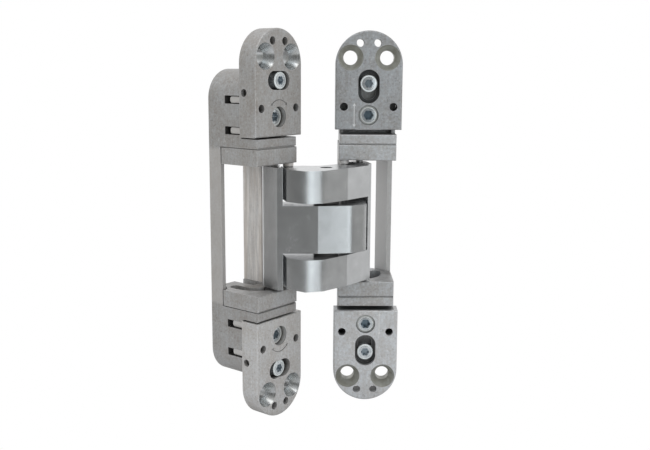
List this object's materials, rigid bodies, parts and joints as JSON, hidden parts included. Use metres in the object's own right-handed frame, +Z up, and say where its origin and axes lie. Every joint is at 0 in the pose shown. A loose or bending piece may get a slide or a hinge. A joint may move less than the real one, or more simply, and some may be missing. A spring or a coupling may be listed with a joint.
{
  "type": "concealed door hinge",
  "caption": "Concealed door hinge: two adjustable leaves for mortising into door and jamb, joined by two crossed arms that fold inside when closed.",
  "frame": {"origin": "centre of the rectangle of the jamb leaf's four screw holes, on the back of its plates, where they rest in the mortise", "axes": "-Y out of the jamb leaf, through its front face, +Z up along the leaf, +X along the face, away from the door leaf"},
  "size_m": [0.0797, 0.0541, 0.1604],
  "materials": {
    "cast_plate": "raw matt zinc die-casting",
    "cast_carrier": "raw matt zinc die-casting",
    "cast_housing": "raw matt zinc die-casting, warmer grey",
    "coated_arm": "satin silver coating",
    "bearing_polymer": "matt",
    "pin_steel": "ground",
    "plated_screw": "bright zinc plating"
  },
  "bodies": {
    "jamb_plates": {"jamb_upper_plate": "cast_plate", "jamb_lower_plate": "cast_plate"},
    "jamb_frame": {"jamb_carrier": "cast_carrier", "jamb_housing": "cast_housing", "tongue_link_pin": "pin_steel", "jamb_upper_clamp_screw": "plated_screw", "jamb_lower_clamp_screw": "plated_screw"},
    "tongue": {"tongue_arm": "coated_arm", "centre_bush": "bearing_polymer", "tongue_link_bush": "bearing_polymer", "tongue_guide_pin": "pin_steel", "tongue_upper_sleeve": "bearing_polymer", "tongue_lower_sleeve": "bearing_polymer"},
    "fork": {"fork_arm": "coated_arm", "centre_pin": "pin_steel", "upper_washer": "bearing_polymer", "lower_washer": "bearing_polymer", "upper_prong_bush": "bearing_polymer", "lower_prong_bush": "bearing_polymer", "fork_guide_pin": "pin_steel", "fork_upper_sleeve": "bearing_polymer", "fork_lower_sleeve": "bearing_polymer"},
    "door_frame": {"door_carrier": "cast_carrier", "door_housing": "cast_housing", "upper_prong_pin": "pin_steel", "lower_prong_pin": "pin_steel", "door_upper_clamp_screw": "plated_screw", "door_lower_clamp_screw": "plated_screw"},
    "door_plates": {"door_upper_plate": "cast_plate", "door_lower_plate": "cast_plate"},
    "jamb_upper_adjuster": {"jamb_upper_adjuster": "plated_screw"},
    "jamb_lower_adjuster": {"jamb_lower_adjuster": "plated_screw"},
    "door_upper_adjuster": {"door_upper_adjuster": "plated_screw"},
    "door_lower_adjuster": {"door_lower_adjuster": "plated_screw"}
  },
  "joints": [
    {"name": "height_slide", "type": "slide", "parent": "jamb_plates", "child": "jamb_frame", "axis": [0, 0, 1], "range_m": [-0.0018, 0.0018]},
    {"name": "tongue_pivot", "type": "hinge", "parent": "jamb_frame", "child": "tongue", "pos_m": [-0.0102, -0.0054, 0], "axis": [0, 0, 1], "range_deg": [-36.57, 92]},
    {"name": "centre_pivot", "type": "hinge", "parent": "tongue", "child": "fork", "pos_m": [-0.0177, -0.0196, 0], "axis": [0, 0, 1], "range_deg": [-55.2, 21.94]},
    {"name": "door_pivot", "type": "hinge", "parent": "fork", "child": "door_frame", "pos_m": [-0.03347, -0.01655, 0], "axis": [0, 0, 1], "range_deg": [-36.57, 92]},
    {"name": "side_slide", "type": "slide", "parent": "door_frame", "child": "door_plates", "axis": [0.6266, 0.7793, 0], "range_m": [-0.0013, 0.0032]},
    {"name": "jamb_upper_adjuster_turn", "type": "hinge", "parent": "jamb_plates", "child": "jamb_upper_adjuster", "pos_m": [0, -0.0084, 0.0454], "axis": [0, -1, 0], "range_deg": [-60.5, 60.5]},
    {"name": "jamb_lower_adjuster_turn", "type": "hinge", "parent": "jamb_plates", "child": "jamb_lower_adjuster", "pos_m": [0, -0.0084, -0.0454], "axis": [0, -1, 0], "range_deg": [-60.5, 60.5]},
    {"name": "door_upper_adjuster_turn", "type": "hinge", "parent": "door_plates", "child": "door_upper_adjuster", "pos_m": [-0.03674, -0.0254, 0.0454], "axis": [0.7793, -0.6266, 0], "range_deg": [-29, 71]},
    {"name": "door_lower_adjuster_turn", "type": "hinge", "parent": "door_plates", "child": "door_lower_adjuster", "pos_m": [-0.03674, -0.0254, -0.0454], "axis": [0.7793, -0.6266, 0], "range_deg": [-71, 29]}
  ],
  "couplings": [
    {"joint": "centre_pivot", "follows": "tongue_pivot", "ratio": -0.59999},
    {"joint": "door_pivot", "follows": "tongue_pivot", "ratio": 1},
    {"joint": "jamb_upper_adjuster_turn", "follows": "height_slide", "rad_per_m": 581.78},
    {"joint": "jamb_lower_adjuster_turn", "follows": "height_slide", "rad_per_m": 581.78},
    {"joint": "door_upper_adjuster_turn", "follows": "side_slide", "rad_per_m": 383.97},
    {"joint": "door_lower_adjuster_turn", "follows": "side_slide", "rad_per_m": -383.97}
  ]
}
